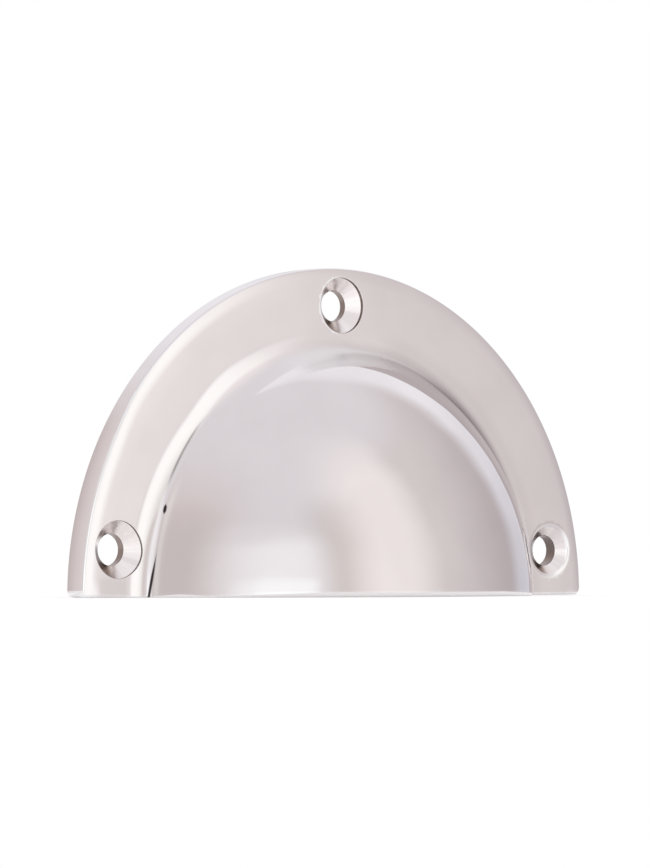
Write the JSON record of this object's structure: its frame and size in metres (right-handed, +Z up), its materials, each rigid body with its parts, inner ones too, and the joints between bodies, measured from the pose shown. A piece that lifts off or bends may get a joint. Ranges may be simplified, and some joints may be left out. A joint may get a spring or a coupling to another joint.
{
  "type": "cup pull",
  "caption": "Half-moon cup pull for a drawer: a spherical hood open below for the fingers, on a flat flange with countersunk screw holes, cast in one piece and polished.",
  "frame": {"origin": "midway between the two side screws, on the mounting face", "axes": "+X across the drawer, +Y out of the mounting face into the drawer front, +Z up; the hood points along -Y"},
  "size_m": [0.1, 0.0255, 0.05],
  "materials": {
    "polished_nickel": "polished nickel plate"
  },
  "bodies": {
    "root": {"cup_pull": "polished_nickel"}
  },
  "joints": []
}
